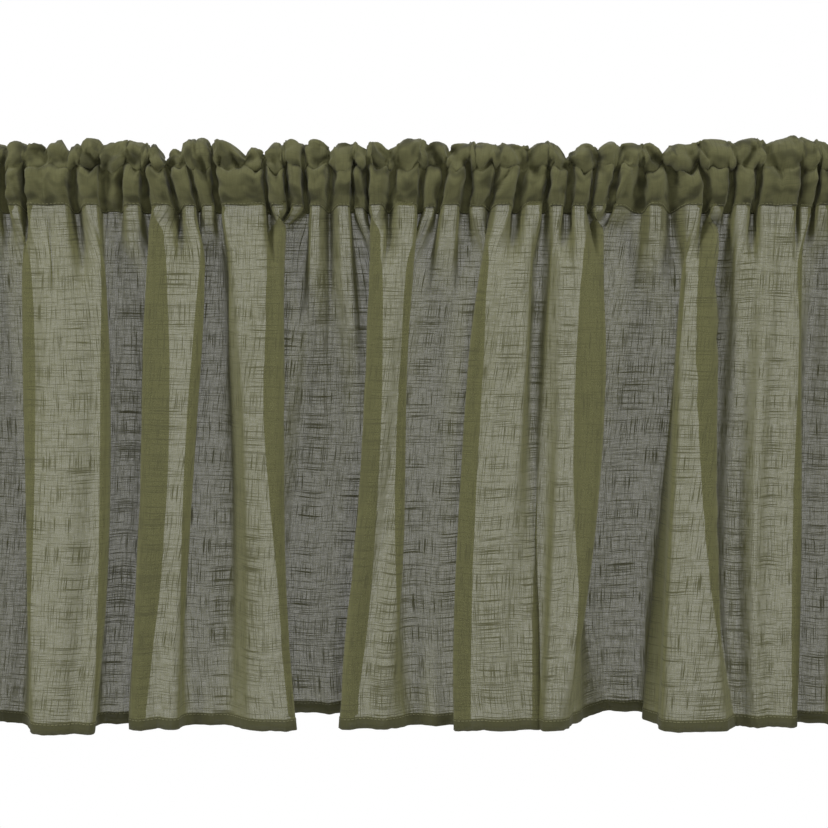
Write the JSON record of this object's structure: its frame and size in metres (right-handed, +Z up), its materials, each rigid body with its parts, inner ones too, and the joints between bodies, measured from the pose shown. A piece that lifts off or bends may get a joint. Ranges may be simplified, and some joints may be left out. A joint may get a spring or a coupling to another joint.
{
  "type": "window valance",
  "caption": "Sheer olive green window valance, gathered on a rod pocket, with soft hanging folds and a narrow hem.",
  "frame": {"origin": "middle of the top edge, above the rod pocket", "axes": "+X along the rod, to the right as seen from the room; -Y faces the room; +Z up"},
  "size_m": [0.7704, 0.0746, 0.4527],
  "materials": {
    "olive_voile": "sheer matt slub voile, one layer in the hanging cloth and doubled in the pocket and hems"
  },
  "bodies": {
    "root": {"heading": "olive_voile", "panel": "olive_voile"}
  },
  "joints": []
}
